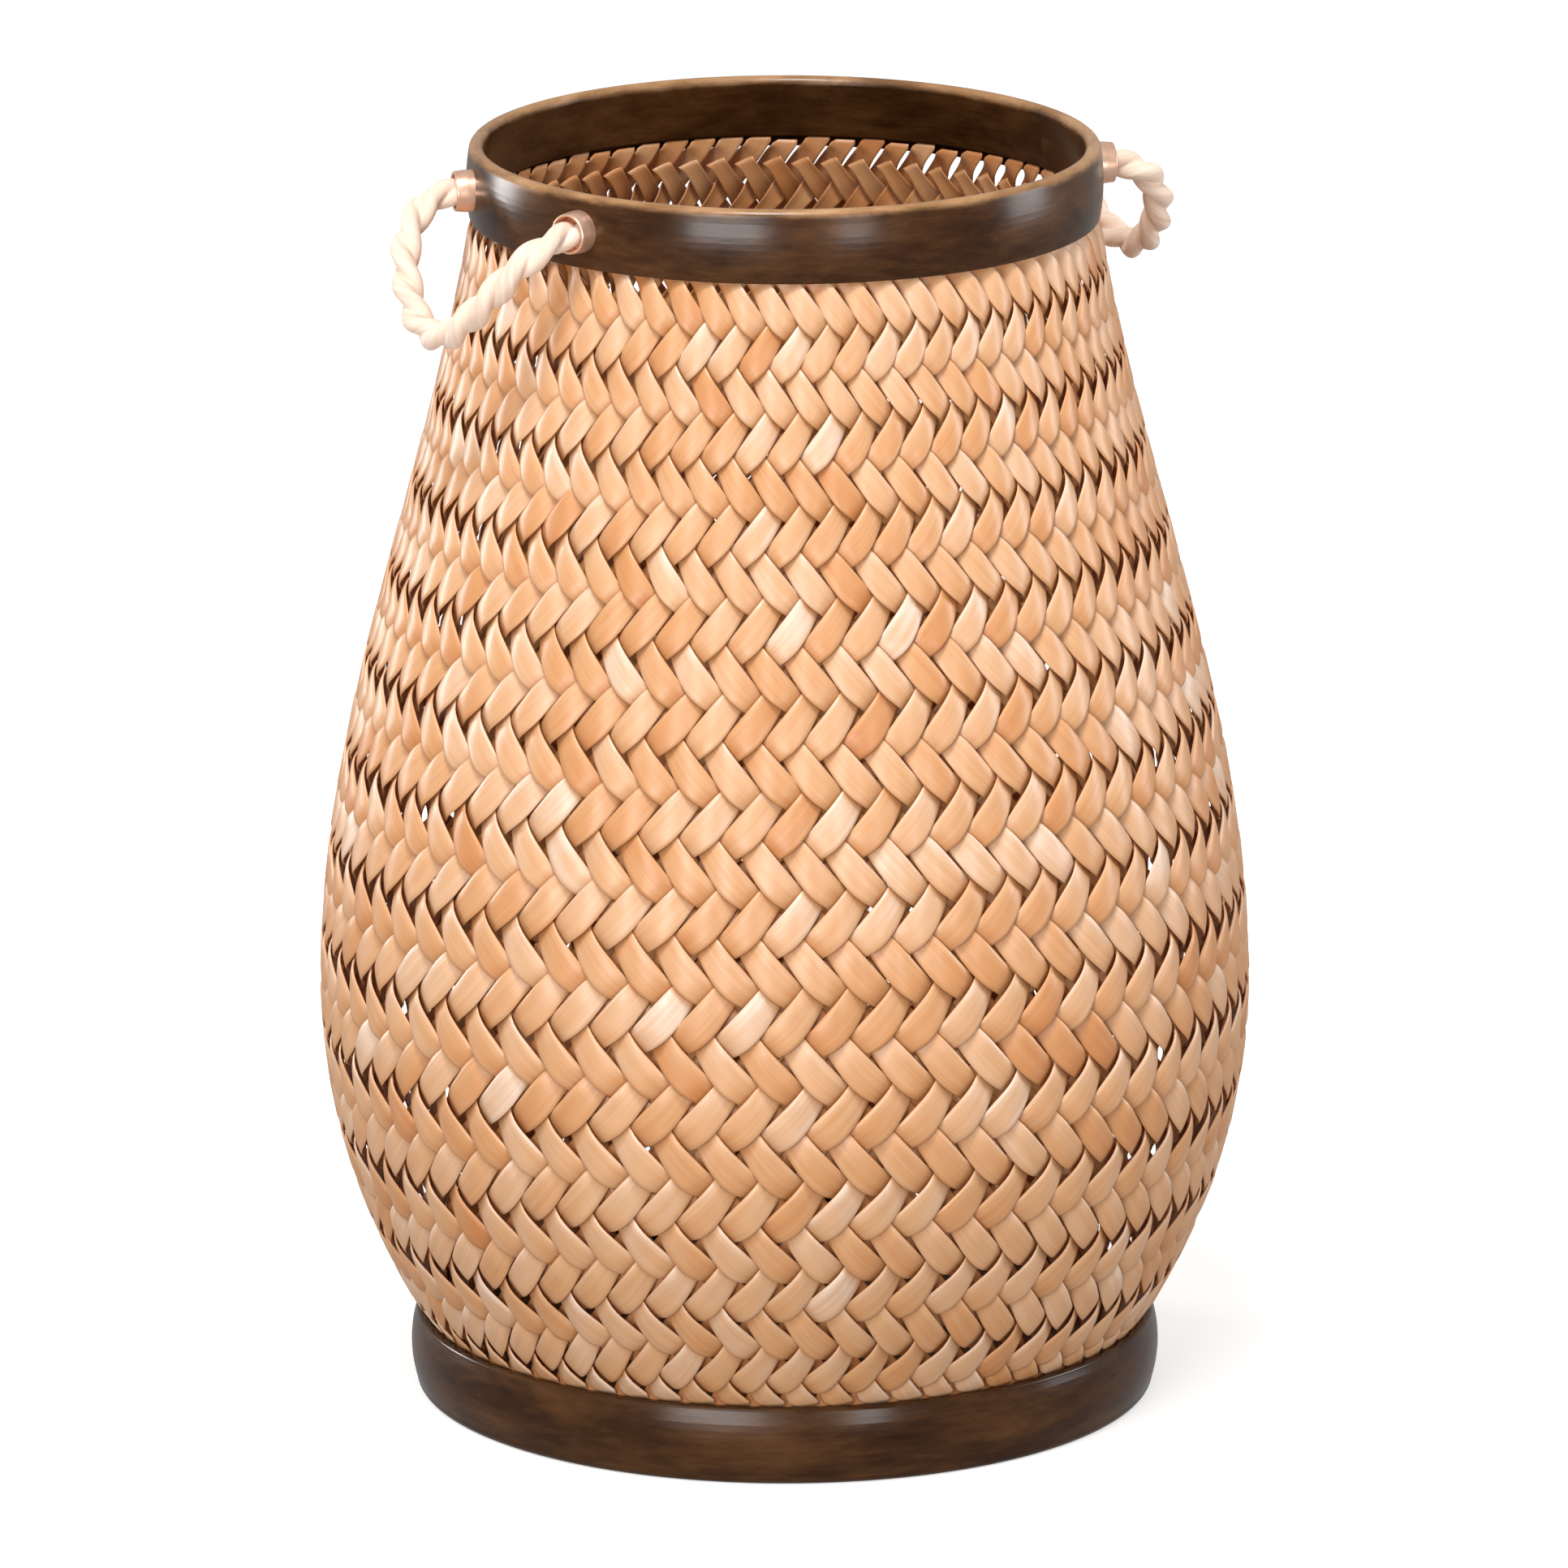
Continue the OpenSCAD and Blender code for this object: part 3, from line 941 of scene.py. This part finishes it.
def make_floor():
    """A plain pale floor that glows a little, so that it stays white beyond the lamps."""
    bpy.ops.mesh.primitive_plane_add(size=FLOOR_SIZE, location=(0, 0, 0))
    floor = bpy.context.object
    floor.name = "studio_floor"
    floor.visible_diffuse = False
    floor.visible_glossy = False
    material, _, shader = new_material("studio_floor")
    shader.inputs["Base Color"].default_value = (0.85, 0.85, 0.85, 1)
    shader.inputs["Roughness"].default_value = 0.9
    shader.inputs["Specular IOR Level"].default_value = 0.1
    shader.inputs["Emission Color"].default_value = (1, 1, 1, 1)
    shader.inputs["Emission Strength"].default_value = FLOOR_GLOW
    floor.data.materials.append(material)


def aim(lamp, place):
    """Puts a lamp at that place, turned to the basket's middle and out of the camera's sight."""
    lamp.visible_camera = False
    lamp.location = place
    lamp.rotation_mode = "QUATERNION"
    lamp.rotation_quaternion = (MIDDLE - lamp.location).to_track_quat("-Z", "Y")
    bpy.context.scene.collection.objects.link(lamp)


def softbox(name, turn, distance, height, width, tall, power):
    """A soft rectangular lamp that stands round the basket, in the terms of SOFTBOXES."""
    data = bpy.data.lights.new(name, "AREA")
    data.shape = "RECTANGLE"
    data.size = width
    data.size_y = tall
    data.energy = power
    lamp = bpy.data.objects.new(name, data)
    aim(lamp, seen_from(CAMERA_TURN + math.radians(turn), distance, height))


def make_light():
    """A white studio: an even world, a broad sky light and the softboxes."""
    world = bpy.data.worlds.new("studio")
    world.use_nodes = True
    background = next(n for n in world.node_tree.nodes if n.type == "BACKGROUND")
    background.inputs["Color"].default_value = (1, 1, 1, 1)
    background.inputs["Strength"].default_value = WORLD_STRENGTH
    bpy.context.scene.world = world
    bpy.context.scene.view_settings.view_transform = "Standard"
    sky = bpy.data.lights.new("sky_light", "SUN")
    sky.energy = SKY_STRENGTH
    sky.angle = SKY_ANGLE
    lamp = bpy.data.objects.new("sky_light", sky)
    aim(lamp, seen_from(CAMERA_TURN + SKY_TURN, SKY_DISTANCE, SKY_HEIGHT))
    for lamp_row in SOFTBOXES:
        softbox(*lamp_row)


make_camera()
ROPE = rope_material()
for side, side_name in SIDES:
    make_rope(side, side_name, ROPE)
STRIP = strip_material()
for panel_number in range(PANELS):
    make_panel(panel_number, STRIP)
dress(["rim_band", "base_band"], band_material())
dress(["floor_panel"], floor_material())
COPPER = copper_material()
for side, side_name in SIDES:
    for end, end_name in ENDS:
        make_ferrule(f"{side_name}_{end_name}_ferrule", side, end, COPPER)
dress(["ferrule_screws", "floor_brads"], steel_material())
make_floor()
make_light()
